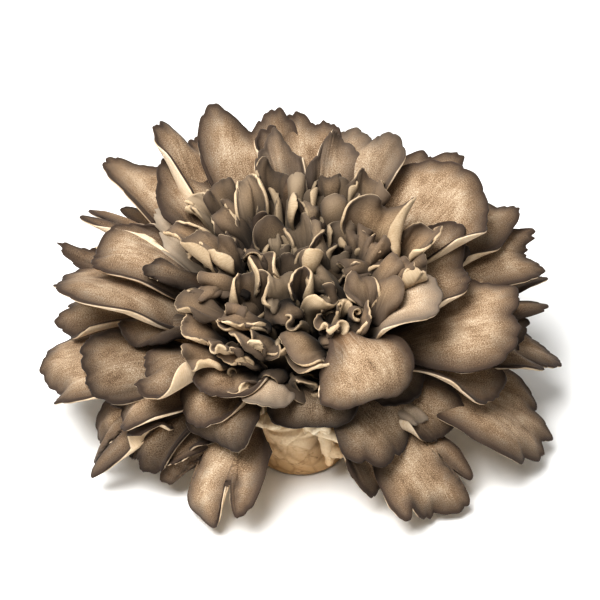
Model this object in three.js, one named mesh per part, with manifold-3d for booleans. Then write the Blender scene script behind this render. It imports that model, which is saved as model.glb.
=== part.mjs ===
// A maitake (hen-of-the-woods) cluster, standing on the cut foot of its stem.
// One thick stem swells into a dome. Thin fan-shaped fronds grow from the dome in tiers: a drooping skirt, long fronds
// that rise outwards around it, and a crown of small curled tongues in the middle.
// Millimetres and degrees. +Z is up, the origin is the centre of the cut foot, and +Y is the cluster's tall side.
import * as THREE from "three";
import { mergeVertices } from "three/addons/utils/BufferGeometryUtils.js";
import Module from "manifold-3d";

// Stem, and the dome on top of it that carries the fronds.
const FOOT_RADIUS = 21;
const FOOT_ROUNDING = 3;
const WAIST_RADIUS = 20;
const SHOULDER_LEVEL = 25;
const DOME_RADIUS = 33;
const DOME_RISE = 29; // from the dome's widest level to its top
const DOME_LEVEL = 40; // height of the dome's widest level
const DOME_BAND = 15; // degrees between the rings of the dome
const STEM_SIDES = 28;

// Every frond.
const ROOT_GAP = 0.4; // between the dome and a frond's root
const ROOT_THICKNESS = 3.2;
const MARGIN_THICKNESS = 1.1;
const FAN_WIDTH = 1.3; // a fan's width over its length and its half-angle
const WIDEST_FAN = 1.3; // half-angle in radians
const SIDE_SHORTENING = 0.3; // how much shorter the side rays of a fan are than its middle ray
const ROWS = 5; // grid cells from root to margin
const COLUMNS = 6; // grid cells across a frond with no lobes
const LOBE_COLUMNS = 3; // grid cells across each lobe
const LOBE_PINCH = 0.3; // how far the cells beside a notch are narrowed, so that the lobes stay broad
const SUM_STEPS = 12; // steps in the sums along a spine and across a frond

// Crown: a cushion on the dome's top with curled tongues growing out of it.
const CUSHION_ANGLE = 30; // how far down the dome it reaches
const CUSHION_THICKNESS = 3;
const TONGUES = 22;
const GOLDEN_ANGLE = 137.5;

const FLESH = new THREE.MeshStandardMaterial({ color: 0xd9c7a6, roughness: 0.8, metalness: 0 });
const CAP = new THREE.MeshStandardMaterial({ color: 0x8b7a64, roughness: 0.9, metalness: 0 });
const CURL = new THREE.MeshStandardMaterial({ color: 0xa8967a, roughness: 0.9, metalness: 0 });

// What a frond has where neither its tier nor its own row says otherwise.
const USUAL_FROND = {
  rootAngle: 90, // how far down the dome it is rooted, from the dome's top
  arch: 10, // half the angle that the spine turns down through, from root to tip
  bend: 0, // the same, sideways
  roll: 0, // turn about the spine
  cup: 0, // angle between the two side margins, positive where they are raised
  neck: 4.5, // half-width at the root
  stalk: 0.3, // how narrow the lower part is, as a share of the fan's angle
  lobes: 1, // lobes along the margin
  notch: 0.15, // depth of the notches beside the lobes, as a share of the length
  lean: 0, // how much longer the frond is on one side
  waves: 2.5, // half-waves from the middle to each side margin
  ruffle: 8, // steepness of those waves at the outer margin
};

// Each tier: how far down the dome its fronds are rooted, what they have in common, and the fronds in turn:
// azimuth from +X, distance of the tip from the axis, height of the tip, width, and what is the frond's own.
const TIERS = [
  {
    name: "skirt",
    common: { rootAngle: 106, arch: 26, neck: 4 },
    fronds: [
      [228, 66, 6, 48, { lobes: 5, notch: 0.3, cup: -25 }],
      [326, 75, 6, 31, { lobes: 3, notch: 0.2, cup: -20 }],
      [355, 104, 16, 45, { lobes: 4, cup: -15, roll: 10 }],
      [191, 90, 9, 24, { lobes: 3, notch: 0.3, arch: 42, cup: -20 }],
      [206, 74, 17, 17, { lobes: 2, arch: 36 }],
      [305, 51, 13, 17, { cup: -15 }],
      [13, 111, 27, 24, { cup: -20 }],
      [43, 94, 18, 38, { lobes: 3, cup: -20 }],
      [73, 86, 12, 36, { lobes: 4, cup: -20 }],
      [103, 84, 12, 37, { lobes: 3, cup: -25 }],
      [133, 90, 15, 38, { lobes: 4, cup: -20 }],
      [160, 98, 20, 34, { lobes: 3, cup: -20 }],
    ],
  },
  {
    name: "outer",
    common: { rootAngle: 88, arch: 20, neck: 3.5, roll: 6 },
    fronds: [
      [174, 110, 29, 38, { lobes: 3, cup: -15, lean: -0.1 }],
      [192, 79, 35, 26, { lobes: 2, cup: -50 }],
      [232, 50, 34, 33, { rootAngle: 74, arch: 50, cup: -30 }],
      [311, 50, 27, 43, { lobes: 4, rootAngle: 84, arch: 46, ruffle: 14 }],
      [355, 79, 45, 24, { rootAngle: 82, cup: 110 }],
      [341, 66, 34, 22, { cup: -20 }],
      [9, 101, 40, 28, { lobes: 2, roll: 10 }],
      [23, 116, 50, 22, { lobes: 2, notch: 0.25 }],
      [45, 104, 44, 36, { lobes: 3 }],
      [70, 96, 44, 36, { lobes: 4 }],
      [94, 94, 42, 34, { lobes: 3 }],
      [118, 98, 44, 32, { lobes: 4 }],
      [141, 106, 48, 28, { lobes: 3 }],
      [159, 108, 44, 24, { lobes: 2 }],
    ],
  },
  {
    name: "middle",
    common: { rootAngle: 70, arch: 12, neck: 2.6, roll: 8 },
    fronds: [
      [168, 101, 63, 42, { cup: 20 }],
      [184, 88, 47, 28, { cup: -50, roll: -10 }],
      [152, 110, 66, 8, { cup: 40 }],
      [142, 113, 77, 32, { lobes: 3, notch: 0.25 }],
      [131, 108, 89, 26, { lean: 0.1 }],
      [119, 104, 100, 30, { lobes: 2, lean: 0.1 }],
      [108, 87, 114, 27, { lobes: 2, notch: 0.06 }],
      [91, 82, 112, 28, { lobes: 3, notch: 0.08 }],
      [68, 80, 112, 27, { cup: 30 }],
      [49, 97, 93, 36, { lobes: 3 }],
      [35, 108, 80, 26, { lean: 0.15 }],
      [25, 113, 68, 22, { cup: 30 }],
      [4, 87, 58, 42, { lobes: 2 }],
      [337, 51, 48, 24, { arch: 36, cup: -30 }],
      [281, 39, 42, 34, { rootAngle: 50, arch: 60, cup: -30 }],
      [213, 56, 46, 24, { arch: 30, cup: -30 }],
    ],
  },
  {
    name: "upper",
    common: { rootAngle: 54, arch: 8, neck: 2.6, roll: 8 },
    fronds: [
      [157, 90, 82, 30, {}],
      [142, 74, 88, 18, { cup: -80, roll: -10 }],
      [128, 84, 98, 27, { cup: 30 }],
      [98, 68, 110, 16, { cup: 30 }],
      [77, 68, 109, 17, { cup: 40 }],
      [42, 88, 99, 42, { lean: -0.08 }],
      [20, 72, 84, 28, { cup: 60, roll: 20 }],
      [353, 54, 82, 25, { arch: 20 }],
      [311, 46, 51, 44, { rootAngle: 42, arch: 60, cup: -20 }],
      [197, 66, 56, 22, { cup: 60 }],
      [222, 50, 63, 24, { arch: 24, cup: 70 }],
      [250, 42, 63, 20, { arch: 24, cup: -60 }],
    ],
  },
];

const TONGUE = { ...USUAL_FROND, arch: 0, neck: 3, stalk: 0.6, waves: 2, ruffle: 45 };

const radians = THREE.MathUtils.degToRad;
const mix = THREE.MathUtils.lerp;
const smooth = THREE.MathUtils.smoothstep;

// A fixed, uneven number from -1 to 1 for the k-th item of a row.
function uneven(k, row) {
  return Math.sin(12.9 * k + 78.2 * row);
}

// The point at an azimuth and an angle down from the dome's top, at a height above the dome's surface.
function domePoint(azimuth, angle, above) {
  const out = (DOME_RADIUS + above) * Math.sin(radians(angle));
  return new THREE.Vector3(
    out * Math.cos(radians(azimuth)),
    out * Math.sin(radians(azimuth)),
    DOME_LEVEL + (DOME_RISE + above) * Math.cos(radians(angle)),
  );
}

// The unit directions of a frond at t, from 0 at its root to 1 at its tip.
function directionsAt(frond, t) {
  const pitch = frond.pitch + radians(frond.arch * (1 - 2 * t));
  const heading = radians(frond.azimuth + frond.bend * (1 - 2 * t));
  const level = new THREE.Vector3(Math.cos(heading), Math.sin(heading), 0);
  const forward = level.clone().multiplyScalar(Math.cos(pitch)).setZ(Math.sin(pitch));
  const turn = radians(frond.roll) * smooth(t, 0, 0.6);
  const side = new THREE.Vector3(-level.y, level.x, 0).applyAxisAngle(forward, turn);
  return { forward, side, up: forward.clone().cross(side) };
}

// The point of a frond's middle surface at s, from 0 at the root to 1 at the margin, and q, from -1 to 1 across.
function middlePoint(frond, s, q) {
  const lobe = Math.sqrt(Math.abs(Math.sin((Math.PI * frond.lobes * (q + 1)) / 2)));
  const outline = (1 - SIDE_SHORTENING * Math.abs(q) ** 3) * (1 - frond.notch * (1 - lobe)) * (1 + frond.lean * q);
  const ray = s * frond.length * outline;
  const angle = q * frond.fan * mix(frond.stalk, 1, smooth(s, 0.05, 0.8));
  const aside = frond.neck * q * (1 - s) + ray * Math.sin(angle);
  const along = (ray * Math.cos(angle)) / frond.length;

  const point = frond.root.clone();
  let across = 0;
  let raised = 0;
  for (let k = 0.5; k < SUM_STEPS; k++) {
    const part = k / SUM_STEPS;
    point.addScaledVector(directionsAt(frond, along * part).forward, (along * frond.length) / SUM_STEPS);
    const cupping = (frond.cup / 2) * q * part * mix(0.4, 1, s);
    const ruffling = frond.ruffle * s * s * Math.sin(Math.PI * frond.waves * q * part + frond.azimuth);
    across += (aside * Math.cos(radians(cupping + ruffling))) / SUM_STEPS;
    raised += (aside * Math.sin(radians(cupping + ruffling))) / SUM_STEPS;
  }
  const { side, up } = directionsAt(frond, along);
  return point.addScaledVector(side, across).addScaledVector(up, raised);
}

// A frond, as a box of cells whose points are moved onto the two faces of the curved sheet.
function frondGeometry(frond, rows) {
  const reach = frond.reach - Math.hypot(frond.root.x, frond.root.y);
  const rise = frond.height - frond.root.z;
  const arch = radians(frond.arch);
  frond.pitch = Math.atan2(rise, reach);
  frond.length = Math.hypot(reach, rise) * (arch > 0 ? arch / Math.sin(arch) : 1);
  frond.fan = Math.min(WIDEST_FAN, frond.width / (FAN_WIDTH * frond.length));

  const columns = frond.lobes > 1 ? LOBE_COLUMNS * frond.lobes : COLUMNS;
  const pinch = frond.lobes > 1 ? LOBE_PINCH / frond.lobes : 0;
  const geometry = new THREE.BoxGeometry(1, 2, 1, rows, columns, 1);
  const points = geometry.attributes.position;
  const near = 0.02;
  for (let i = 0; i < points.count; i++) {
    const s = points.getX(i) + 0.5;
    const column = points.getY(i);
    const q = column - pinch * Math.sin(Math.PI * frond.lobes * (column + 1));
    const lengthwise = middlePoint(frond, Math.min(1, s + near), q).sub(middlePoint(frond, Math.max(0, s - near), q));
    const crosswise = middlePoint(frond, s, Math.min(1, q + near)).sub(middlePoint(frond, s, Math.max(-1, q - near)));
    const normal = lengthwise.cross(crosswise).normalize();
    const thickness = mix(ROOT_THICKNESS, MARGIN_THICKNESS, s ** 0.7);
    const point = middlePoint(frond, s, q).addScaledVector(normal, points.getZ(i) * thickness);
    points.setXYZ(i, point.x, point.y, point.z);
  }
  return geometry;
}

// The same geometry with only its points, each one shared by the faces that meet there.
function merged(geometry) {
  geometry.deleteAttribute("normal");
  geometry.deleteAttribute("uv");
  return mergeVertices(geometry, 1e-4);
}

// A solid of revolution about +Z, from the radii and heights of its profile.
function turned(profile, sides) {
  const outline = profile.map(([radius, height]) => new THREE.Vector2(radius, height));
  return merged(new THREE.LatheGeometry(outline, sides).rotateX(Math.PI / 2));
}

// The dome's profile between two angles down from its top.
function domeProfile(from, to, above) {
  const profile = [];
  const bands = Math.abs(to - from) / DOME_BAND;
  for (let k = 0; k <= bands; k++) {
    const point = domePoint(0, mix(from, to, k / bands), above);
    profile.push([point.x, point.z]);
  }
  return profile;
}

// The stem: a lathe shape pressed into shallow knobs between its flat foot and its smooth dome.
function stemGeometry() {
  const geometry = turned(
    [
      [0, 0],
      [FOOT_RADIUS - FOOT_ROUNDING, 0],
      [FOOT_RADIUS, FOOT_ROUNDING],
      [FOOT_RADIUS + 1, 10],
      [WAIST_RADIUS, 18],
      [WAIST_RADIUS + 2, SHOULDER_LEVEL],
      [WAIST_RADIUS + 8, SHOULDER_LEVEL + 7],
      ...domeProfile(90, 0, 0),
    ],
    STEM_SIDES,
  );
  const points = geometry.attributes.position;
  for (let i = 0; i < points.count; i++) {
    const z = points.getZ(i);
    const around = Math.atan2(points.getY(i), points.getX(i));
    const free = smooth(z, 1, 8) * (1 - smooth(z, SHOULDER_LEVEL - 2, SHOULDER_LEVEL + 6));
    const knob = 1 + free * (0.05 * Math.sin(3 * around + 1) + 0.03 * Math.sin(7 * around + z / 4));
    points.setXY(i, points.getX(i) * knob, points.getY(i) * knob);
  }
  return geometry;
}

// The k-th tongue of the crown. They stand on a spiral, the outer ones lean outwards, and those on +Y are taller.
function tongue(k) {
  const share = Math.sqrt((k + 0.5) / TONGUES);
  const azimuth = k * GOLDEN_ANGLE;
  const reach = 6 + 38 * share + 4 * uneven(k, 1);
  return {
    ...TONGUE,
    azimuth,
    reach,
    height: 93 - 8 * share + 0.32 * reach * Math.sin(radians(azimuth)) + 5 * uneven(k, 2),
    width: 19 + 4 * uneven(k, 3),
    root: domePoint(azimuth, (CUSHION_ANGLE - 3) * share, CUSHION_THICKNESS / 2),
    cup: (k % 2 ? -1 : 1) * (120 + 40 * uneven(k, 4)),
    roll: 50 * uneven(k, 5),
    bend: 15 * uneven(k, 6),
  };
}

// The crown: its cushion and its tongues joined into one solid.
async function crownGeometry() {
  const wasm = await Module();
  wasm.setup();
  const solid = (geometry) =>
    new wasm.Manifold(
      new wasm.Mesh({
        numProp: 3,
        vertProperties: new Float32Array(geometry.attributes.position.array),
        triVerts: new Uint32Array(geometry.index.array),
      }),
    );
  const cushion = [...domeProfile(0, CUSHION_ANGLE, ROOT_GAP), ...domeProfile(CUSHION_ANGLE, 0, CUSHION_THICKNESS)];
  let crown = solid(turned(cushion, STEM_SIDES));
  for (let k = 0; k < TONGUES; k++) {
    crown = crown.add(solid(merged(frondGeometry(tongue(k), ROWS - 1))));
  }
  const mesh = crown.getMesh();
  const geometry = new THREE.BufferGeometry();
  geometry.setAttribute("position", new THREE.BufferAttribute(mesh.vertProperties, 3));
  geometry.setIndex(new THREE.BufferAttribute(mesh.triVerts, 1));
  return geometry;
}

const cluster = new THREE.Group();

function place(name, geometry, material) {
  const mesh = new THREE.Mesh(geometry, material.clone());
  mesh.name = name;
  cluster.add(mesh);
}

place("stem", stemGeometry(), FLESH);
place("crown", await crownGeometry(), CURL);
for (const { name, common, fronds } of TIERS) {
  fronds.forEach(([azimuth, reach, height, width, own], i) => {
    const frond = { ...USUAL_FROND, ...common, ...own, azimuth, reach, height, width };
    frond.root = domePoint(azimuth, frond.rootAngle, ROOT_GAP + ROOT_THICKNESS / 2);
    place(`${name}_frond_${String(i + 1).padStart(2, "0")}`, frondGeometry(frond, ROWS), CAP);
  });
}

export default cluster;
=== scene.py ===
"""A maitake (hen-of-the-woods) cluster standing on its cut foot.

Every frond is a thin curved fan grown from a spine, like its coarse solid in the frame, with finer lobes,
folds, ruffles and a rounded margin. Lengths are in millimetres until a mesh is made, and angles are in degrees.
"""

import math

import bpy
import numpy as np
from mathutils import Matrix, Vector


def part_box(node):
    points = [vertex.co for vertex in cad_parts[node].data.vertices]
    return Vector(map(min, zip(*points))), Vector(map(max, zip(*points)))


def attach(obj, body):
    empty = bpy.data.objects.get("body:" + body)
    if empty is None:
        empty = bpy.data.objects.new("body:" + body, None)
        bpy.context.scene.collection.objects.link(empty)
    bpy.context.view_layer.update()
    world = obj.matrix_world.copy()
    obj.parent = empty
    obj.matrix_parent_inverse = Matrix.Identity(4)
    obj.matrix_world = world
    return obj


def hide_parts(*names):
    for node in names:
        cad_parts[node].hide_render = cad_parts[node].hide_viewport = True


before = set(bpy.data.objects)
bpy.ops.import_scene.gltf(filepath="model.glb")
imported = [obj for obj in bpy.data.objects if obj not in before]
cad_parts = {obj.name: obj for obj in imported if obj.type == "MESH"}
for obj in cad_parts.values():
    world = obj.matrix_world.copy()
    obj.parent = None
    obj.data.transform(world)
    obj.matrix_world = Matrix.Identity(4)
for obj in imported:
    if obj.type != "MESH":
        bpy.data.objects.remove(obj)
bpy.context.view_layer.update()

MM = 0.001

# The stem, and the dome on top of it that carries the fronds.
STEM_LOW, STEM_HIGH = (np.array(corner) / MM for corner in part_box("stem"))
DOME_RADIUS = (STEM_HIGH - STEM_LOW)[0] / 2
DOME_LEVEL = 40.0
DOME_RISE = STEM_HIGH[2] - DOME_LEVEL
DOME_DEPTH_UNDER_SKIN = 8
STEM_SIDES = 240
STEM_RINGS = 170
STEM_LUMPS = 130

# Every frond.
FAN_WIDTH = 1.03  # a fan's width over its length and its half-angle
WIDEST_FAN = 1.3  # half-angle in radians
SIDE_SHORTENING = 0.34  # how much shorter the side rays of a wide fan are than its middle ray
ROUNDED_TIP = 0.55  # the same for a narrow fan, over its half-angle
LOBE_SHIFT = 0.16  # how unevenly the lobes are spread along a margin
SCALLOP_RATE = 11
JAG_RATE = 37
JAG_DEPTH = 0.006
PLEAT_RATE = 15
PLEAT_HEIGHT = 0.12
FOLD_START = 0.62  # where a folded side begins, from 0 in the middle to 1 at the side
SHADE_LOST_AT_TIPS = 0.4  # how much of the painted shade deep inside the cluster is lost at a margin
SUM_STEPS = 16  # steps in the sums along a spine and across a frond

# The crown.
GOLDEN_ANGLE = 137.5
FILL_CURLS = 46

# Points along and across each kind of sheet.
FROND_GRID = (48, 92)
CURL_GRID = (34, 52)
FILL_GRID = (30, 44)
LEAF_GRID = (36, 56)
BRANCH_GRID = (30, 40)

# Each kind of piece has its own run of seeds, and the fronds of the tiers start from 1.
CURL_SEED = 200
LEAF_SEED = 300
BRANCH_SEED = 400
FILL_SEED = 500
FILL_PLACE_SEED = 900
STEM_SWELL_SEED = 71
STEM_KNOB_SEED = 72
STEM_LUMP_SEED = 31

# What a frond has where neither its tier nor its own row says otherwise:
#   rootAngle, sunk: how far down the dome the root is, and how deep in it
#   arch, hook, bend: how far the spine turns down, down again near the tip, and sideways
#   roll, cup: turn about the spine, and the angle between the two sides
#   neck, stalk: half-width at the root, and how narrow the lower part is as a share of the fan's angle
#   lobes, notch, scallop, ragged, cuts: the margin's lobes, small scallops, unevenness and deep cuts
#   lean: how much longer the frond is on one side
#   waves, ruffle, wavy: number and steepness of the waves across it, and the height of uneven ones
#   lip, turn: height and width of the turned margin
#   tone_and_shade, pale: brightness, which painted shade deep inside the cluster lowers further, and how like
#       the underside the upper face is
#   rim, deep: how like the upper face the margin is, and how much painted shade darkens the frond deep inside
#       the cluster
# A row may also have fold, the angles that its two sides are folded up by, which chance chooses otherwise, and
# shoulder, how much shorter its side rays are than the middle one, which follows from its width otherwise.
# A curl's row may have azimuth, the way that it heads, which is from its root to its tip otherwise.
USUAL_FROND = dict(
    rootAngle=90, arch=10, hook=8, bend=0, roll=0, cup=0, neck=4.5, stalk=0.3, lobes=1, notch=0.07, lean=0,
    waves=1.5, ruffle=7, tone_and_shade=1.0, pale=0.0, lip=-2.2, turn=6, sunk=11.0, root_thickness=5.0,
    margin_thickness=1.3, ragged=0.048, scallop=0.022, wavy=2.6, rim=0.7, deep=0.5, cuts=(),
)

# How far chance may change a frond of a tier, and the angles that it chooses folds from.
CHANCE = dict(arch=5, cup=22, bend=13, hook=10, roll=16)
FOLDS = (0, 0, 50, 120)

# Deep cuts in a margin: where they are across the frond, how deep and how wide.
SPLIT_HAND = ((-0.8, 0.16, 0.05), (-0.5, 0.28, 0.05), (-0.2, 0.38, 0.06), (0.42, 0.36, 0.05))
SPLIT_THUMB = ((0.5, 0.26, 0.06), (-0.6, 0.12, 0.08))

# The fronds, as in the frame: azimuth, distance and height of the tip, width, and what is the frond's own.
TIERS = {
    "skirt": (
        dict(rootAngle=106, arch=26, neck=4),
        [
            (227, 66, 6, 49, dict(cuts=SPLIT_HAND, cup=-10, tone_and_shade=1.15, fold=(0, 0), shoulder=0.55)),
            (321, 78, 5, 33, dict(cuts=SPLIT_THUMB, cup=-10, tone_and_shade=1.1, fold=(0, 0))),
            (354, 106, 16, 47, dict(lobes=4, cup=-15, roll=5, fold=(0, 0))),
            (191, 90, 9, 26, dict(lobes=3, notch=0.3, arch=42, roll=-10, fold=(0, 0))),
            (206, 74, 19, 15, dict(lobes=2, arch=36, tone_and_shade=0.65)),
            (309, 54, 15, 17, dict(cup=-15, tone_and_shade=0.9, fold=(0, 0))),
            (13, 111, 27, 24, dict(cup=-20)),
            (43, 94, 18, 38, dict(lobes=3, cup=-20)),
            (73, 86, 12, 36, dict(lobes=4, cup=-20)),
            (103, 84, 12, 37, dict(lobes=3, cup=-25)),
            (133, 90, 15, 38, dict(lobes=4, cup=-20)),
            (160, 98, 20, 34, dict(lobes=3, cup=-20)),
        ],
    ),
    "outer": (
        dict(rootAngle=88, arch=20, neck=3.5, roll=6),
        [
            (174, 110, 29, 38, dict(lobes=3, cup=-15, lean=-0.1, fold=(0, 0))),
            (192, 80, 35, 28, dict(lobes=2, cup=-30, fold=(0, 50))),
            (226, 52, 35, 28, dict(rootAngle=74, arch=50, cup=-30, tone_and_shade=0.62, rim=0.2, fold=(0, 0))),
            (319, 54, 30, 35, dict(lobes=4, rootAngle=84, arch=46, ruffle=14, tone_and_shade=0.75, fold=(0, 0))),
            (355, 79, 45, 24, dict(rootAngle=82, cup=110)),
            (341, 66, 34, 22, dict(cup=-20, tone_and_shade=0.8)),
            (9, 101, 40, 28, dict(lobes=2, roll=10, tone_and_shade=0.8)),
            (23, 116, 50, 22, dict(lobes=2, notch=0.25)),
            (45, 104, 44, 36, dict(lobes=3)),
            (70, 96, 44, 36, dict(lobes=4)),
            (94, 94, 42, 34, dict(lobes=3)),
            (118, 98, 44, 32, dict(lobes=4)),
            (141, 106, 48, 28, dict(lobes=3)),
            (159, 108, 44, 24, dict(lobes=2)),
        ],
    ),
    "middle": (
        dict(rootAngle=70, arch=12, neck=2.6, roll=8),
        [
            (166, 103, 72, 44, dict(cup=10, fold=(0, 30))),
            (184, 88, 47, 28, dict(cup=-50, roll=-10, tone_and_shade=0.7, fold=(0, 60))),
            (152, 107, 66, 8, dict(cup=40)),
            (142, 113, 77, 32, dict(lobes=3, notch=0.25)),
            (131, 108, 89, 26, dict(lean=0.1)),
            (119, 104, 100, 34, dict(lobes=2, lean=0.1)),
            (106, 87, 114, 33, dict(lobes=2, notch=0.05, fold=(40, 0))),
            (91, 82, 112, 32, dict(lobes=3, notch=0.06)),
            (68, 80, 112, 27, dict(cup=30, pale=0.15, ruffle=16)),
            (49, 97, 93, 36, dict(lobes=3)),
            (35, 108, 80, 26, dict(lean=0.15)),
            (25, 113, 68, 22, dict(cup=30)),
            (4, 87, 70, 38, dict(lobes=2, tone_and_shade=1.1)),
            (337, 51, 48, 24, dict(arch=36, cup=-30, tone_and_shade=0.5)),
            (281, 39, 42, 33, dict(rootAngle=50, arch=60, cup=-30, tone_and_shade=0.55, fold=(0, 0))),
            (213, 56, 46, 24, dict(arch=30, cup=-30)),
        ],
    ),
    "upper": (
        dict(rootAngle=54, arch=8, neck=2.6, roll=8),
        [
            (157, 90, 85, 30, dict()),
            (142, 74, 88, 18, dict(cup=-80, roll=-10, pale=0.8)),
            (128, 84, 98, 28, dict(cup=30, tone_and_shade=0.85, fold=(90, 0))),
            (98, 68, 110, 16, dict(cup=50, pale=0.1, ruffle=24, tone_and_shade=1.1)),
            (77, 68, 109, 17, dict(cup=70, pale=0.1, ruffle=24, tone_and_shade=1.1)),
            (42, 88, 102, 42, dict(lean=-0.08, tone_and_shade=1.1)),
            (20, 72, 84, 28, dict(cup=60, roll=20, fold=(80, 0))),
            (353, 51, 90, 26, dict(arch=20, pale=0.3, tone_and_shade=1.15)),
            (311, 46, 52, 34, dict(rootAngle=24, sunk=-8, arch=55, cup=-20, tone_and_shade=1.2, fold=(0, 0))),
            (197, 66, 56, 22, dict(cup=60)),
            (222, 50, 63, 24, dict(arch=24, cup=70)),
            (250, 42, 63, 20, dict(arch=24, cup=-60, pale=0.4)),
        ],
    ),
}
CURL = dict(
    USUAL_FROND, fold=(0, 0), arch=12, hook=20, neck=2.2, stalk=0.45, waves=1.3, ruffle=58, root_thickness=3.0,
    margin_thickness=1.3, lip=-0.8, turn=3, wavy=1.8, ragged=0.07, scallop=0.025, pale=0.2, rim=0.25, deep=0.93,
)

# The crown's curls: the tip, the root, the width when unrolled, and what is the curl's own.
CURLS = [
    ((-45, 46, 91), (-31, 36, 78), 8, dict(cup=150, pale=1)),
    ((-32, 34, 101), (-15, 18, 82), 14, dict(cup=-200, tone_and_shade=0.85)),
    ((-14, 9, 94), (-22, 22, 80), 12, dict(cup=60, tone_and_shade=0.8)),
    ((-23, 45, 105), (-15, 20, 78), 13, dict(cup=150, pale=0.45)),
    ((2, 45, 105), (-4, 18, 80), 10, dict(cup=70, pale=0.8)),
    ((0, 35, 101), (1, 20, 82), 8, dict(cup=210, tone_and_shade=0.75)),
    ((6, 37, 102), (8, 16, 78), 14, dict(cup=-110, hook=50, pale=0.5)),
    ((16, 37, 103), (18, 17, 78), 22, dict(cup=-280, pale=0.4)),
    ((37, 36, 101), (27, 10, 76), 23, dict(cup=130, ruffle=40, tone_and_shade=0.85)),
    ((-8, 25, 99), (-8, 10, 78), 18, dict(cup=120, hook=40, tone_and_shade=0.75)),
    ((-9, 18, 96), (-7, 10, 82), 7, dict(pale=1)),
    ((0, 25, 99), (3, 6, 78), 12, dict(cup=50, pale=0.5)),
    ((8, 23, 98), (12, 6, 78), 11, dict(cup=-90, roll=50, arch=40, pale=0.5)),
    ((20, 21, 97), (22, 8, 80), 6, dict(cup=-120)),
    ((25, 22, 98), (24, 8, 80), 8, dict(cup=-140)),
    ((31, 17, 97), (24, 6, 78), 10, dict(cup=-160, arch=30)),
    ((17, 3, 93), (31, 10, 84), 9, dict(cup=-60, tone_and_shade=0.9)),
    ((37, 9, 94), (26, -3, 80), 11, dict(cup=-80, wavy=0.6, ruffle=8)),
    ((7, 12, 95), (6, 2, 76), 26, dict(cup=-60, arch=20)),
    ((3, 5, 93), (18, -4, 80), 10, dict(cup=-70, pale=0.6)),
    ((22, 0, 91), (27, -11, 78), 10, dict(cup=80, wavy=0.6, ruffle=20)),
    ((36, -2, 91), (29, -12, 76), 12, dict(cup=-60, wavy=0.6, ruffle=8)),
    ((8, -11, 86), (15, -2, 76), 9, dict(cup=-150, pale=0.6)),
    ((13, -6, 89), (13, -13, 70), 13, dict(cup=-290, tone_and_shade=0.9, stalk=0.9)),
    ((26, -12, 85), (14, -16, 74), 12, dict(cup=-200, arch=-40)),
    ((7, -18, 82), (14, -14, 70), 10, dict(cup=-60)),
    ((-6, -24, 77), (12, -17, 64), 18, dict(cup=-80, arch=25)),
    ((0, -29, 69), (10, -15, 60), 16, dict(cup=-60, arch=25, pale=0.3)),
    ((-9, -1, 91), (-4, -8, 76), 15, dict(cup=-150, hook=50, pale=0.8)),
    ((-7, -17, 80), (-5, -6, 82), 18, dict(cup=-50, arch=30, azimuth=260)),
    ((-22, 1, 91), (-18, -5, 64), 16, dict(cup=20, azimuth=100)),
    ((-37, 1, 91), (-20, -1, 82), 12, dict(cup=-170)),
    ((-43, 18, 97), (-26, 8, 76), 14, dict(cup=100, tone_and_shade=0.8)),
    ((-37, 17, 96), (-24, 8, 78), 10, dict(cup=-150, pale=0.3)),
    ((-30, 15, 96), (-21, 8, 78), 11, dict(cup=120, bend=40, tone_and_shade=0.85)),
    ((-15, 8, 94), (-12, -2, 76), 14, dict(cup=100)),
    ((-5, 8, 93), (-3, 0, 78), 14, dict(cup=120, tone_and_shade=0.7)),
    ((-46, -8, 86), (-25, -12, 76), 12, dict(cup=-150, tone_and_shade=0.75)),
    ((-30, -15, 83), (-12, -14, 76), 9, dict(cup=-80)),
    ((-26, -20, 79), (-10, -15, 62), 20, dict(cup=-100, pale=0.3)),
    ((-15, -22, 78), (-8, -13, 62), 14, dict(cup=140, tone_and_shade=0.8)),
    ((-29, -27, 72), (-15, -19, 58), 12, dict(cup=-120, arch=30, pale=0.4)),
    ((-28, -32, 61), (-15, -20, 56), 14, dict(cup=-60, arch=30, pale=0.2)),
    ((-36, -18, 81), (-24, -19, 60), 12, dict(cup=-50, azimuth=240)),
    ((-44, -17, 81), (-26, -14, 64), 11, dict(cup=-90)),
    ((-43, -26, 73), (-25, -19, 58), 11, dict(cup=60)),
    ((13, -19, 81), (8, -12, 64), 11, dict(cup=-270)),
    ((22, -13, 85), (18, -6, 68), 9, dict(cup=-200)),
    ((-39, -9, 86), (-29, 3, 82), 8, dict(cup=-120, arch=30)),
    ((43, 5, 93), (31, 1, 78), 10, dict(cup=-110, wavy=0.6)),
    ((48, 7, 92), (33, 3, 78), 9, dict(cup=90, tone_and_shade=0.8)),
    ((-52, 28, 93), (-30, 16, 74), 16, dict(cup=60)),
    ((-12, 52, 106), (-10, 28, 80), 14, dict(cup=-80, tone_and_shade=0.8)),
    ((14, 50, 106), (12, 28, 80), 13, dict(cup=100)),
    ((28, 50, 104), (22, 26, 78), 14, dict(cup=-100, pale=0.3)),
    ((54, 22, 95), (32, 12, 74), 16, dict(cup=100)),
    ((-34, 50, 100), (-22, 28, 76), 14, dict(cup=-120, tone_and_shade=0.85)),
    ((-3, -18, 70), (-2, -8, 52), 13, dict(cup=60, tone_and_shade=0.7)),
    ((8, -24, 62), (4, -14, 50), 12, dict(cup=-90, tone_and_shade=0.8)),
    ((-12, -27, 66), (-6, -15, 52), 12, dict(cup=-60, tone_and_shade=0.8)),
    ((-3, -32, 58), (0, -18, 48), 16, dict(cup=-40, arch=30, tone_and_shade=0.75)),
]

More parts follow.
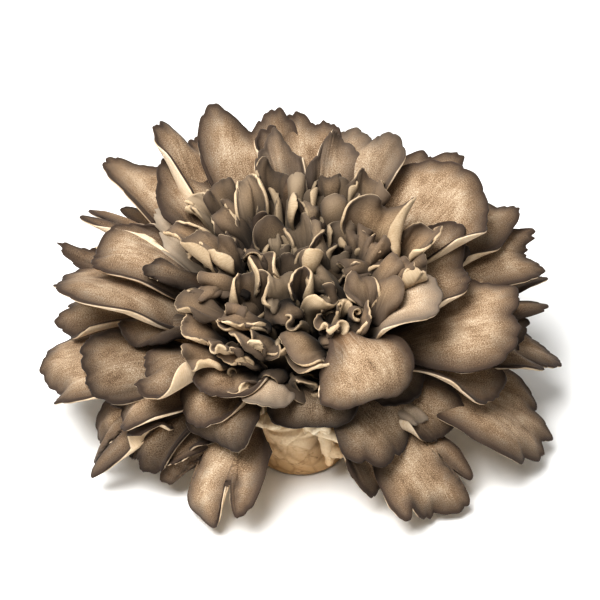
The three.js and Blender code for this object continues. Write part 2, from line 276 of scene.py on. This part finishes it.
# Smaller fronds between the large ones, in the same form.
LEAVES = [
    ((-61, 16, 84), (-36, 12, 74), 12, dict(cup=-80, tone_and_shade=0.7)),
    ((-47, -21, 38), (-20, -14, 40), 16, dict(cup=-20, tone_and_shade=0.8)),
    ((-49, -28, 28), (-18, -14, 34), 14, dict(cup=-20, tone_and_shade=0.8)),
    ((-43, -14, 52), (-22, -10, 48), 7, dict(cup=60, pale=1)),
    ((-56, -33, 25), (-24, -18, 30), 11, dict(cup=-60)),
    ((66, 35, 80), (36, 18, 68), 14, dict(cup=-60, tone_and_shade=0.7)),
    ((89, 31, 60), (44, 16, 56), 24, dict(cup=-20, tone_and_shade=0.85)),
    ((80, 6, 42), (36, 0, 44), 20, dict(cup=-40, tone_and_shade=0.6)),
    ((50, -25, 38), (24, -14, 46), 10, dict(cup=-40, pale=0.5, ruffle=0, wavy=0.5, scallop=0)),
    ((62, -26, 20), (26, -16, 32), 8, dict(cup=-50, bend=20)),
    ((-70, 4, 62), (-36, 2, 60), 18, dict(cup=-40, tone_and_shade=0.8)),
    ((-62, -12, 50), (-30, -8, 50), 16, dict(cup=-60, tone_and_shade=0.7)),
]
# Bare branches that stand out of the stem.
BRANCHES = [
    ((23, -26, 28), (4, -19, 29), 8, dict(cup=-120)),
    ((-15, -30, 38), (-5, -16, 36), 10, dict(cup=-90)),
    ((6, -31, 38), (3, -16, 34), 10, dict(cup=-80)),
    ((13, -25, 14), (10, -20, 28), 5, dict(cup=-120)),
    ((-24, -24, 34), (-10, -14, 32), 9, dict(cup=-90)),
]


def unevenness(seed, low=1.0, high=3.0, count=6):
    """A smooth, fixed, uneven function of two numbers, mostly between -1 and 1."""
    r = np.random.default_rng(seed)
    a, b = r.uniform(low, high, (2, count)) * r.choice([-1, 1], (2, count))
    phase = r.uniform(0, 2 * math.pi, count)
    return lambda x, y: sum(np.sin(a[k] * x + b[k] * y + phase[k]) for k in range(count)) / math.sqrt(count)


def smooth(x, low, high):
    """A soft step from 0 at low to 1 at high."""
    t = np.clip((x - low) / (high - low), 0, 1)
    return t * t * (3 - 2 * t)


def dome_point(azimuth, angle, above):
    """The point at an azimuth and an angle down from the dome's top, at a height above the dome's surface."""
    a, d = math.radians(azimuth), math.radians(angle)
    out = (DOME_RADIUS + above) * math.sin(d)
    return np.array([out * math.cos(a), out * math.sin(a), DOME_LEVEL + (DOME_RISE + above) * math.cos(d)])


def directions(f, t):
    """The frond's unit directions forward, aside and up at t, from 0 at its root to 1 at its tip."""
    pitch = f["pitch"] + np.radians(f["arch"] * (1 - 2 * t) - f["hook"] * smooth(t, 0.5, 1.1))
    heading = np.radians(f["azimuth"] + f["bend"] * (1 - 2 * t))
    turn = np.radians(f["roll"]) * smooth(t, 0, 0.6)
    level = np.stack([np.cos(heading), np.sin(heading), 0 * t], -1)
    forward = level * np.cos(pitch)[..., None]
    forward[..., 2] = np.sin(pitch)
    across = np.stack([-level[..., 1], level[..., 0], 0 * t], -1)
    aside = across * np.cos(turn)[..., None] + np.cross(forward, across) * np.sin(turn)[..., None]
    return forward, aside, np.cross(forward, aside)


def middle_surface(f, s, q):
    """Points of the frond's middle surface at s, from root to margin, and q, across it."""
    shifted = q + LOBE_SHIFT * (1 - q * q) * f["uneven"](1.5 * q, 0 * q)
    lobe = np.abs(np.sin(math.pi * f["lobes"] * (shifted + 1) / 2)) ** 0.6
    notch = f["notch"] * (1 + 0.4 * f["uneven"](2 * q, 0 * q))
    outline = (1 - f["shoulder"] * np.abs(q) ** 3) * (1 - notch * (1 - lobe)) * (1 + f["lean"] * q)
    ragged = f["ragged"] * f["uneven"](1.8 * q, 3 + 0 * q)
    scallops = 1 - np.sqrt(np.abs(np.sin(SCALLOP_RATE * shifted + f["azimuth"])))
    jagged = JAG_DEPTH * np.sin(JAG_RATE * q + 4 * f["uneven"](3 * q, 0 * q)) * f["uneven"](4 * q, 5 + 0 * q)
    outline = outline * (1 + ragged - f["scallop"] * scallops + jagged)
    for place, depth, width in f["cuts"]:
        outline = outline * (1 - depth * np.exp(-(np.abs((q - place) / width) ** 1.3)))
    ray = s * f["length"] * outline
    angle = q * f["fan"] * (f["stalk"] + (1 - f["stalk"]) * smooth(s, 0.05, 0.8))
    aside = f["neck"] * q * (1 - s) + ray * np.sin(angle)
    along = ray * np.cos(angle) / f["length"]
    points = np.broadcast_to(f["root"], s.shape + (3,)).copy()
    across, raised = np.zeros_like(s), np.zeros_like(s)
    for k in range(SUM_STEPS):
        part = (k + 0.5) / SUM_STEPS
        points += directions(f, along * part)[0] * (along * f["length"] / SUM_STEPS)[..., None]
        cupping = f["cup"] / 2 * q * part * (0.4 + 0.6 * s)
        ruffling = f["ruffle"] * s * s * np.sin(math.pi * f["waves"] * q * part + f["azimuth"])
        rolled = np.where(q > 0, f["fold"][1], f["fold"][0]) * smooth(s, 0.15, 0.6)
        cupping += np.sign(q) * rolled * smooth(np.abs(q) * part, FOLD_START, 1.0)
        across += aside * np.cos(np.radians(cupping + ruffling)) / SUM_STEPS
        raised += aside * np.sin(np.radians(cupping + ruffling)) / SUM_STEPS
    _, side, up = directions(f, along)
    return points + side * across[..., None] + up * raised[..., None], aside, ray


def top_surface(x, y):
    """The height of the cluster's crowded top, highest at the back."""
    return 97 + 0.3 * y - 0.006 * x**2 - 0.024 * np.minimum(y, 0) ** 2


def depth_inside(points):
    """How deep points are under the crowded top, from 0 at its surface to 1 well inside."""
    x, y, z = points.T
    return smooth(top_surface(x, y) - z, 1, 10) * (1 - smooth(np.hypot(x, y), 45, 70)) * smooth(z, 46, 58)


def normals_of(grid):
    """The unit normal at each point of a grid of points."""
    normal = np.cross(np.gradient(grid, axis=0), np.gradient(grid, axis=1))
    return normal / np.maximum(np.linalg.norm(normal, axis=-1, keepdims=True), 1e-9)


def sheet_mesh(name, f, rows, columns):
    """The frond as a closed mesh: upper face, lower face and a rounded margin, with what its material needs."""
    # The rows crowd towards the margin and the columns towards the sides.
    u, v = np.meshgrid(np.linspace(0, 1, rows), np.linspace(-1, 1, columns), indexing="ij")
    s = 1 - (1 - u) ** 1.4
    q = 0.75 * v + 0.25 * np.sin(math.pi / 2 * v)
    grid, aside, ray = middle_surface(f, s, q)

    # The margin is every outer point but the root's row.
    margin = np.concatenate([grid[1:, 0], grid[-1], grid[1:, -1]])
    edge = np.sqrt(((grid[:, :, None] - margin) ** 2).sum(-1).min(-1))
    lift = f["wavy"] * s**1.5 * f["uneven"](1.7 * q, 2.2 * s)
    lift += PLEAT_HEIGHT * s * np.sin(PLEAT_RATE * q + 3 * f["uneven"](2 * q, 2 * s))
    lip = f["lip"] + 1.2 * f["uneven"](3 * q, 1 + 2 * s)
    lift += lip * np.exp(-((edge / f["turn"]) ** 2)) * smooth(s, 0.2, 0.6)
    grid = grid + normals_of(grid) * lift[..., None]

    normal = normals_of(grid)
    thinner = f["root_thickness"] - f["margin_thickness"]
    thickness = f["root_thickness"] - thinner * s**0.6
    half = normal * (thickness / 2)[..., None]

    # The loop runs once around the sheet, and inner holds the point next to each of its points.
    n = rows * columns
    index = np.arange(n).reshape(rows, columns)
    loop = np.concatenate([index[0], index[1:, -1], index[-1, -2::-1], index[-2:0:-1, 0]])
    inner = np.concatenate([index[1], index[1:, -2], index[-2, -2::-1], index[-2:0:-1, 1]])
    flat = grid.reshape(-1, 3)
    outward = flat[loop] - flat[inner]
    outward /= np.maximum(np.linalg.norm(outward, axis=1, keepdims=True), 1e-9)
    rim = flat[loop] + outward * (thickness.reshape(-1)[loop] / 2)[:, None]
    points = np.concatenate([(grid + half).reshape(-1, 3), (grid - half).reshape(-1, 3), rim])

    corners = (index[:-1, :-1], index[1:, :-1], index[1:, 1:], index[:-1, 1:])
    upper = np.stack([corner.ravel() for corner in corners], 1)
    lower = upper[:, [0, 3, 2, 1]] + n
    m = len(loop)
    here, there = np.arange(m), (np.arange(m) + 1) % m
    rim_upper = np.stack([loop[here], loop[there], 2 * n + there, 2 * n + here], 1)
    rim_lower = np.stack([2 * n + here, 2 * n + there, loop[there] + n, loop[here] + n], 1)
    faces = np.concatenate([upper, lower, rim_upper, rim_lower])

    mesh = bpy.data.meshes.new(name)
    mesh.from_pydata((points * MM).tolist(), [], faces.tolist())
    both = np.concatenate([np.arange(n), np.arange(n), loop])
    # Painted shade: a piece deep under the crowded top is darkened, less so towards its margin.
    painted_shade = depth_inside(points) * (1 - SHADE_LOST_AT_TIPS * s.reshape(-1)[both])
    values = {
        "along": s.reshape(-1)[both],
        "edge": np.concatenate([edge.reshape(-1), edge.reshape(-1), np.zeros(m)]),
        "upper": np.concatenate([np.ones(n), np.zeros(n), np.full(m, f["rim"])]),
        "tone_and_shade": f["tone_and_shade"] * (1 - f["deep"] * painted_shade),
        "pale": np.full(len(points), f["pale"]),
    }
    for key, value in values.items():
        mesh.attributes.new(key, "FLOAT", "POINT").data.foreach_set("value", value.astype(np.float32))

    # The fan's own coordinates, with each piece far from the others so that no two have the same pattern.
    apart = np.full(len(points), 37.0 * f["seed"])
    fan = np.stack([aside.reshape(-1)[both], ray.reshape(-1)[both], apart], 1).astype(np.float32)
    mesh.attributes.new("fan", "FLOAT_VECTOR", "POINT").data.foreach_set("vector", fan.ravel())
    mesh.shade_smooth()
    mesh.validate()
    return mesh


def grown(seed, root, azimuth, out, rise, width, own):
    """A frond's numbers, from its root and how far its tip is outward and upward from it."""
    f = dict(own, seed=seed, uneven=unevenness(seed), root=np.array(root, float))
    f.setdefault("azimuth", azimuth)
    arch = math.radians(f["arch"])
    f["pitch"] = math.atan2(rise, out)
    f["length"] = math.hypot(out, rise) * (arch / math.sin(arch) if arch else 1)
    fan = min(WIDEST_FAN, width / (FAN_WIDTH * f["length"]))
    f.setdefault("shoulder", min(SIDE_SHORTENING, ROUNDED_TIP * fan))
    f["fan"] = fan * (1 - SIDE_SHORTENING) / (1 - min(f["shoulder"], SIDE_SHORTENING))
    return f


def frond(seed, azimuth, reach, height, width, own):
    """A frond of a tier, rooted in the dome, with its own small share of chance."""
    chance = np.random.default_rng(seed)
    own = dict(own)
    for key, most in CHANCE.items():
        own[key] += most * chance.uniform(-1, 1)
    own.setdefault("fold", tuple(chance.choice(FOLDS, 2)))
    root = dome_point(azimuth, own["rootAngle"], -own["sunk"])
    return grown(seed, root, azimuth, reach - math.hypot(root[0], root[1]), height - root[2], width, own)


def curl_between(seed, tip, root, width, own):
    """A frond or a curl that is given by the places of its tip and its root."""
    x, y, z = np.subtract(tip, root)
    return grown(seed, root, math.degrees(math.atan2(y, x)), math.hypot(x, y), z, width, own)


def add_piece(mesh, material, node):
    """A new object that stands for a node of the frame and rides on the only body."""
    piece = bpy.data.objects.new(mesh.name, mesh)
    bpy.context.scene.collection.objects.link(piece)
    mesh.materials.append(material)
    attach(piece, "root")
    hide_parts(node)
    return piece


def colour(red, green, blue):
    """A colour from its everyday 0 to 255 values, as Blender's linear one."""
    return tuple(((c / 255 + 0.055) / 1.055) ** 2.4 if c > 10 else c / 3294 for c in (red, green, blue)) + (1,)


class Nodes:
    """Short calls for building a material's node tree."""

    def __init__(self, name):
        self.material = bpy.data.materials.new(name)
        self.material.use_nodes = True
        self.tree = self.material.node_tree
        self.shader = self.tree.nodes["Principled BSDF"]

    def feed(self, socket, value):
        if isinstance(value, bpy.types.NodeSocket):
            self.tree.links.new(value, socket)
        else:
            socket.default_value = value

    def value(self, name):
        node = self.tree.nodes.new("ShaderNodeAttribute")
        node.attribute_name = name
        return node.outputs["Fac"]

    def place(self, name, scale):
        """A vector attribute, scaled along each of its directions."""
        node = self.tree.nodes.new("ShaderNodeAttribute")
        node.attribute_name = name
        return self.scaled(node.outputs["Vector"], scale)

    def scaled(self, vector, scale):
        node = self.tree.nodes.new("ShaderNodeVectorMath")
        node.operation = "MULTIPLY"
        self.feed(node.inputs[0], vector)
        node.inputs[1].default_value = scale
        return node.outputs["Vector"]

    def darkened(self, face, share):
        """A colour made darker, or lighter, by a share."""
        node = self.tree.nodes.new("ShaderNodeVectorMath")
        node.operation = "SCALE"
        self.feed(node.inputs[0], face)
        self.feed(node.inputs["Scale"], share)
        return node.outputs["Vector"]

    def noise(self, vector, scale=1.0, detail=3.0, rough=0.55, twist=0.0):
        node = self.tree.nodes.new("ShaderNodeTexNoise")
        self.feed(node.inputs["Vector"], vector)
        node.inputs["Scale"].default_value = scale
        node.inputs["Detail"].default_value = detail
        node.inputs["Roughness"].default_value = rough
        node.inputs["Distortion"].default_value = twist
        return node.outputs["Fac"]

    def sum(self, *terms):
        """The sum of (value, weight) pairs."""
        total = 0.0
        for value, weight in terms:
            node = self.tree.nodes.new("ShaderNodeMath")
            node.operation = "MULTIPLY_ADD"
            self.feed(node.inputs[0], value)
            self.feed(node.inputs[1], weight)
            self.feed(node.inputs[2], total)
            total = node.outputs[0]
        return total

    def times(self, a, b):
        node = self.tree.nodes.new("ShaderNodeMath")
        node.operation = "MULTIPLY"
        self.feed(node.inputs[0], a)
        self.feed(node.inputs[1], b)
        return node.outputs[0]

    def step(self, value, low, high, start=0.0, end=1.0):
        node = self.tree.nodes.new("ShaderNodeMapRange")
        node.interpolation_type = "SMOOTHSTEP"
        self.feed(node.inputs["Value"], value)
        for key, number in (("From Min", low), ("From Max", high), ("To Min", start), ("To Max", end)):
            node.inputs[key].default_value = number
        return node.outputs["Result"]

    def ramp(self, value, *stops):
        node = self.tree.nodes.new("ShaderNodeValToRGB")
        self.feed(node.inputs["Fac"], value)
        elements = node.color_ramp.elements
        while len(elements) < len(stops):
            elements.new(0.5)
        for element, (place, shade) in zip(elements, stops):
            element.position = place
            element.color = shade
        return node.outputs["Color"]

    def blend(self, share, a, b):
        node = self.tree.nodes.new("ShaderNodeMix")
        node.data_type = "RGBA"
        self.feed(node.inputs["Factor"], share)
        self.feed(node.inputs[6], a)
        self.feed(node.inputs[7], b)
        return node.outputs[2]

    def bump(self, height, distance, strength):
        node = self.tree.nodes.new("ShaderNodeBump")
        self.feed(node.inputs["Height"], height)
        node.inputs["Distance"].default_value = distance
        node.inputs["Strength"].default_value = strength
        self.tree.links.new(node.outputs["Normal"], self.shader.inputs["Normal"])


def cap_material(name, dark, mid, light, base_and_shade, base_and_shade_reach, rim, under, under_dark):
    """Velvety grey-brown cap above, cream flesh with fine pores below; painted shade darkens it deep inside the
    cluster, and in part towards the root.
    """
    n = Nodes(name)

    # The noises lie in the fan's own coordinates, across and along its rays.
    along, edge = n.value("along"), n.value("edge")
    fibre = n.noise(n.place("fan", (0.8, 0.12, 1)), detail=5, rough=0.6, twist=0.8)
    streak = n.noise(n.place("fan", (1.3, 0.05, 1)), detail=3, twist=0.3)
    cloud = n.noise(n.place("fan", (0.13, 0.1, 1)), detail=3)
    grain = n.noise(n.place("fan", (2.6, 2.0, 1)), detail=3, rough=0.8)
    shade = n.sum((fibre, 0.45), (cloud, 0.7), (grain, 1.8), (1.0, -0.98))
    top = n.ramp(shade, (0.15, dark), (0.5, mid), (0.88, light))
    # Towards the root the face turns to a warm brown on the caps, partly their own colour and partly painted
    # shade, and to a dark brown on the crown's curls, which is painted shade.
    top = n.blend(n.step(along, base_and_shade_reach, base_and_shade_reach / 4), top, base_and_shade)
    streaks = n.times(n.step(along, 0.85, 0.3), n.step(streak, 0.5, 0.75, 0.0, 0.45))
    top = n.blend(streaks, top, light)
    band = n.sum((edge, 1.0), (cloud, -6.0), (fibre, -4.0), (grain, -4.0))
    top = n.blend(n.step(band, 3.0, -8.0, 0.0, 0.9), top, rim)
    top = n.blend(n.step(edge, 2.0, 0.3, 0.0, 0.75), top, rim)
    pores = n.noise(n.place("fan", (3.2, 3.2, 1)), detail=2, rough=0.6)
    patches = n.sum((pores, 0.6), (cloud, 0.55), (fibre, 0.35), (1.0, -0.25))
    below = n.ramp(patches, (0.2, under_dark), (0.7, under))
    top = n.blend(n.value("pale"), top, n.blend(0.45, top, under))
    face = n.blend(n.step(n.value("upper"), 0.3, 0.7), below, top)
    # The colour is scaled by each piece's brightness and by the painted shade deep inside the cluster.
    n.feed(n.shader.inputs["Base Color"], n.darkened(face, n.value("tone_and_shade")))
    n.feed(n.shader.inputs["Roughness"], n.step(grain, 0.2, 0.8, 0.72, 0.92))
    n.shader.inputs["Specular IOR Level"].default_value = 0.3
    n.shader.inputs["Sheen Weight"].default_value = 0.06
    n.shader.inputs["Sheen Roughness"].default_value = 0.5
    n.bump(n.sum((fibre, 0.25), (grain, 0.6), (cloud, 0.2)), 0.0005, 0.5)
    return n.material


def flesh_material():
    """Smooth pale stem flesh with brown marks, darker and dirtier towards the cut foot, with painted shade in
    its creases and on the dome between the fronds' roots.
    """
    n = Nodes("flesh")
    where = n.tree.nodes.new("ShaderNodeTexCoord").outputs["Object"]
    height = n.tree.nodes.new("ShaderNodeSeparateXYZ")
    n.feed(height.inputs[0], where)
    broad = n.noise(where, scale=45, detail=4, twist=0.6)
    marks = n.noise(n.scaled(where, (1, 1, 1.8)), scale=150, detail=5, rough=0.65, twist=1.0)
    grain = n.noise(where, scale=1100, detail=3)
    base_and_shade = n.ramp(
        n.sum((broad, 0.8), (grain, 0.4), (1.0, -0.1)),
        (0.25, colour(206, 178, 144)),
        (0.55, colour(236, 218, 190)),
        (0.8, colour(250, 238, 218)),
    )
    low = n.step(n.sum((height.outputs["Z"], 1.0), (broad, -0.02)), 0.022, -0.008)
    base_and_shade = n.blend(n.times(low, 0.75), base_and_shade, colour(182, 142, 90))
    # Painted shade in the creases, stronger towards the foot.
    crease_shade = n.times(n.value("crease"), n.sum((low, 0.35), (1.0, 0.15)))
    base_and_shade = n.blend(crease_shade, base_and_shade, colour(140, 104, 66))
    in_marks = n.times(n.step(marks, 0.55, 0.72), n.sum((low, 0.6), (1.0, 0.25)))
    base_and_shade = n.blend(in_marks, base_and_shade, colour(118, 84, 52))

    # Painted shade: the dome between the fronds' roots, which lies in deep shade, is painted dark brown.
    base_and_shade = n.blend(n.step(height.outputs["Z"], 0.044, 0.054), base_and_shade, colour(52, 38, 27))
    n.feed(n.shader.inputs["Base Color"], base_and_shade)
    n.feed(n.shader.inputs["Roughness"], n.step(marks, 0.3, 0.7, 0.6, 0.8))
    n.shader.inputs["Specular IOR Level"].default_value = 0.35
    n.bump(n.sum((broad, 1.0), (marks, 0.5), (grain, 0.12)), 0.0012, 0.5)
    return n.material


def stem_outline():
    """Radii and heights up the stem, from the middle of its flat foot to the top of its dome."""
    profile = [(0.0, 0.0), (18, 0), (20.2, 0.9), (21, 3), (22, 10), (20, 18), (22, 24)]
    for angle in range(90, -1, -10):
        p = dome_point(0, angle, -DOME_DEPTH_UNDER_SKIN)
        profile.append((p[0], p[2]))
    profile = np.array(profile)
    length = np.concatenate([[0], np.cumsum(np.linalg.norm(np.diff(profile, axis=0), axis=1))])
    at = np.linspace(0, length[-1], STEM_RINGS)
    radius, height = np.interp(at, length, profile[:, 0]), np.interp(at, length, profile[:, 1])
    for _ in range(3):
        radius[5:-1] = (radius[4:-2] + 2 * radius[5:-1] + radius[6:]) / 4
        height[5:-1] = (height[4:-2] + 2 * height[5:-1] + height[6:]) / 4
    return radius, height


def lumps_and_creases(t, z, lumps, knobs):
    """How far out the flesh's lumps stand, and how deep its creases are, at angle t and height z."""
    x, y = np.cos(t), np.sin(t)
    chance = np.random.default_rng(STEM_LUMP_SEED)
    lump_angle = chance.uniform(0, 2 * math.pi, STEM_LUMPS)
    lump_height = chance.uniform(-4, 48, STEM_LUMPS)
    lump_rise = chance.uniform(-0.9, 1.1, STEM_LUMPS)

    # Each point is measured from its two nearest lumps, and a crease runs where they are equally near.
    swirl = t + 0.12 * lumps(2 * x, 2 * y + 0.1 * z)
    across = 22 * np.sqrt(np.maximum(2 - 2 * np.cos(swirl[..., None] - lump_angle), 0))
    away = np.hypot(across, (z + 1.5 * knobs(x, y))[..., None] - lump_height)
    order = np.argsort(away, axis=-1)[..., :2]
    nearest = np.take_along_axis(away, order, -1)
    crease = np.exp(-(((nearest[..., 1] - nearest[..., 0]) / 1.1) ** 2))
    return lump_rise[order[..., 0]], crease


def closed_rings(name, rings, low, high):
    """A closed mesh around rings of points, with a middle point at its low end and at its high end."""
    steps, around = rings.shape[:2]
    index = np.arange(steps * around).reshape(steps, around)
    nxt = np.roll(index, -1, axis=1)
    quads = np.stack([index[:-1].ravel(), nxt[:-1].ravel(), nxt[1:].ravel(), index[1:].ravel()], 1).tolist()
    foot, top = steps * around, steps * around + 1
    ends = [(foot, int(nxt[0, k]), int(index[0, k])) for k in range(around)]
    ends += [(top, int(index[-1, k]), int(nxt[-1, k])) for k in range(around)]
    mesh = bpy.data.meshes.new(name)
    points = np.concatenate([rings.reshape(-1, 3), [low, high]])
    mesh.from_pydata((points * MM).tolist(), [], quads + ends)
    return mesh


def stem_mesh():
    """The stem: flat cut foot, knobbly waist and a dome with shallow flutes where the fronds' branches part."""
    radius, height = stem_outline()
    theta = np.linspace(0, 2 * math.pi, STEM_SIDES, endpoint=False)
    r, t = np.meshgrid(radius, theta, indexing="ij")
    z = np.broadcast_to(height[:, None], r.shape)
    free = smooth(z, 0.6, 7)
    lumps, knobs = unevenness(STEM_SWELL_SEED, 1, 2.5), unevenness(STEM_KNOB_SEED, 3, 6)
    x, y = np.cos(t), np.sin(t)
    swell = 1.5 * lumps(1.6 * x + 0.07 * z, 1.6 * y) + 1.1 * knobs(x + 0.09 * z, y + 0.05 * z)
    flutes = 1.1 * np.sin(15 * t + 1.5 * lumps(x, y + 0.04 * z)) * smooth(z, 26, 40)
    knob = 1 + 0.05 * np.sin(3 * t + 1) * free * (1 - smooth(z, 23, 31))
    rise, crease = lumps_and_creases(t, z, lumps, knobs)
    swell = swell + rise * (1 - crease) - 0.6 * crease
    r = np.maximum(r * knob + free * (swell + flutes - 0.8) * smooth(r, 2, 12), 0.0)
    points = np.stack([r * x, r * y, z], -1)
    mesh = closed_rings("stem_flesh", points[1:-1], [0, 0, height[0]], [0, 0, height[-1]])
    creases = np.concatenate([crease[1:-1].ravel(), [0, 0]]).astype(np.float32)
    mesh.attributes.new("crease", "FLOAT", "POINT").data.foreach_set("value", creases)
    mesh.shade_smooth()
    mesh.validate()
    return mesh


def grow_fronds(cap):
    """The fronds of every tier, one for each frond node of the frame."""
    seed = 0
    for tier, (common, rows) in TIERS.items():
        for i, (azimuth, reach, height, width, own) in enumerate(rows):
            seed += 1
            node = f"{tier}_frond_{i + 1:02d}"
            f = frond(seed, azimuth, reach, height, width, {**USUAL_FROND, **common, **own})
            add_piece(sheet_mesh(f"{node}_fine", f, *FROND_GRID), cap, node)


def grow_crown(curl):
    """The crown's curls, and smaller ones on a spiral that fill the gaps between them."""
    for k, (tip, root, width, own) in enumerate(CURLS):
        f = curl_between(CURL_SEED + k, tip, root, width, {**CURL, **own})
        add_piece(sheet_mesh(f"crown_curl_{k + 1:02d}", f, *CURL_GRID), curl, "crown")
    for k in range(FILL_CURLS):
        chance = np.random.default_rng(FILL_PLACE_SEED + k)
        share, azimuth = math.sqrt((k + 0.5) / FILL_CURLS), math.radians(GOLDEN_ANGLE * k)
        x, y = 46 * share * math.cos(azimuth), 8 + 40 * share * math.sin(azimuth)
        tip = np.array([x, y, top_surface(x, y) - 3 - 7 * chance.random()])
        root = tip * (0.6, 0.6, 1) - (0, 2, 22)
        own = dict(
            CURL,
            cup=chance.choice([-1, 1]) * chance.uniform(70, 200),
            roll=chance.uniform(-60, 60),
            bend=chance.uniform(-25, 25),
            tone_and_shade=chance.uniform(0.75, 1.05),
            pale=chance.uniform(0, 0.6),
        )
        f = curl_between(FILL_SEED + k, tip, root, chance.uniform(8, 14), own)
        add_piece(sheet_mesh(f"crown_fill_{k + 1:02d}", f, *FILL_GRID), curl, "crown")


def grow_small_pieces(cap, flesh):
    """The small fronds between the large ones, and the bare branches."""
    for k, (tip, root, width, own) in enumerate(LEAVES):
        f = curl_between(LEAF_SEED + k, tip, root, width, {**USUAL_FROND, "fold": (0, 0), **own})
        add_piece(sheet_mesh(f"small_frond_{k + 1:02d}", f, *LEAF_GRID), cap, "stem")
    for k, (tip, root, width, own) in enumerate(BRANCHES):
        thick = {"root_thickness": 7, "margin_thickness": 2.5}
        f = curl_between(BRANCH_SEED + k, tip, root, width, {**CURL, **thick, **own})
        add_piece(sheet_mesh(f"branch_{k + 1:02d}", f, *BRANCH_GRID), flesh, "stem")


cap = cap_material(
    "cap",
    dark=colour(84, 66, 50),
    mid=colour(150, 127, 102),
    light=colour(206, 191, 170),
    # Warm brown towards the root: partly the caps' own colour, partly painted shade.
    base_and_shade=colour(140, 108, 76),
    base_and_shade_reach=0.42,
    rim=colour(66, 54, 46),
    under=colour(226, 210, 188),
    under_dark=colour(190, 162, 126),
)
curl = cap_material(
    "curl",
    dark=colour(88, 67, 48),
    mid=colour(150, 124, 95),
    light=colour(206, 182, 150),
    # Painted shade: dark brown over most of each curl from its root, for the dark gaps between the curls.
    base_and_shade=colour(64, 48, 34),
    base_and_shade_reach=0.9,
    rim=colour(84, 70, 60),
    under=colour(210, 190, 162),
    under_dark=colour(168, 142, 110),
)

flesh = flesh_material()
add_piece(stem_mesh(), flesh, "stem")
grow_fronds(cap)
grow_crown(curl)
grow_small_pieces(cap, flesh)

# The floor is a wide flat disc that curves up into a wall, all one pale sheet, in metres.
FLOOR_SIDES = 96
FLOOR_RADIUS = 2.2
WALL_BEND = 0.9
WALL_HEIGHT = 2.6
bend = np.linspace(0, math.pi / 2, 24)
cove_radius = np.concatenate([[0.05, 0.6], FLOOR_RADIUS + WALL_BEND * np.sin(bend), [FLOOR_RADIUS + WALL_BEND]])
cove_height = np.concatenate([[0, 0], WALL_BEND * (1 - np.cos(bend)), [WALL_HEIGHT]])
turn = np.linspace(0, 2 * math.pi, FLOOR_SIDES, endpoint=False)
cove = np.stack([np.outer(cove_radius, np.cos(turn)), np.outer(cove_radius, np.sin(turn))], -1)
cove = np.concatenate([cove, np.broadcast_to(cove_height[:, None, None], cove.shape[:2] + (1,))], -1)
ring = np.arange(cove.shape[0] * FLOOR_SIDES).reshape(-1, FLOOR_SIDES)
after = np.roll(ring, -1, axis=1)
cove_faces = np.stack([ring[:-1], after[:-1], after[1:], ring[1:]], -1).reshape(-1, 4).tolist()
floor_mesh = bpy.data.meshes.new("floor")
floor_mesh.from_pydata(cove.reshape(-1, 3).tolist(), [], cove_faces + [ring[0].tolist()])
floor = bpy.data.objects.new("floor", floor_mesh)
bpy.context.scene.collection.objects.link(floor)
paper = Nodes("paper")
paper.shader.inputs["Base Color"].default_value = (0.9, 0.9, 0.89, 1)
paper.shader.inputs["Roughness"].default_value = 0.9
floor_mesh.materials.append(paper.material)

# A dim white room, a key light above the front left and a wide one overhead, both soft.
world = bpy.data.worlds.new("studio")
bpy.context.scene.world = world
world.use_nodes = True
world.node_tree.nodes["Background"].inputs["Color"].default_value = (1, 1, 1, 1)
world.node_tree.nodes["Background"].inputs["Strength"].default_value = 0.18

MIDDLE = Vector((0, 0, 0.06))  # of the cluster, where the lights point


def soft_light(name, place, size, power):
    """A square light, aimed at the middle of the cluster."""
    data = bpy.data.lights.new(name, "AREA")
    data.size = size
    data.energy = power
    light = bpy.data.objects.new(name, data)
    light.location = place
    light.rotation_mode = "QUATERNION"
    light.rotation_quaternion = (MIDDLE - Vector(place)).to_track_quat("-Z", "Y")
    bpy.context.scene.collection.objects.link(light)


soft_light("key", (-0.3, -0.25, 1.0), 0.6, 13.5)
soft_light("overhead", (0.0, 0.3, 2.4), 3.5, 18)

# The camera looks down at the cluster's front, past a point a little above its foot.
ELEVATION = math.radians(40)
DISTANCE = 0.7
AIM_ABOVE_FOOT = 0.0596
back = Vector((0, -math.cos(ELEVATION), math.sin(ELEVATION)))
above = Vector((0, math.sin(ELEVATION), math.cos(ELEVATION)))
camera_data = bpy.data.cameras.new("camera")
camera_data.lens = 100
camera = bpy.data.objects.new("camera", camera_data)
camera.location = back * DISTANCE + above * AIM_ABOVE_FOOT
camera.rotation_mode = "QUATERNION"
camera.rotation_quaternion = (-back).to_track_quat("-Z", "Y")
bpy.context.scene.collection.objects.link(camera)
bpy.context.scene.camera = camera
bpy.context.scene.view_settings.view_transform = "Standard"
bpy.context.scene.view_settings.look = "High Contrast"
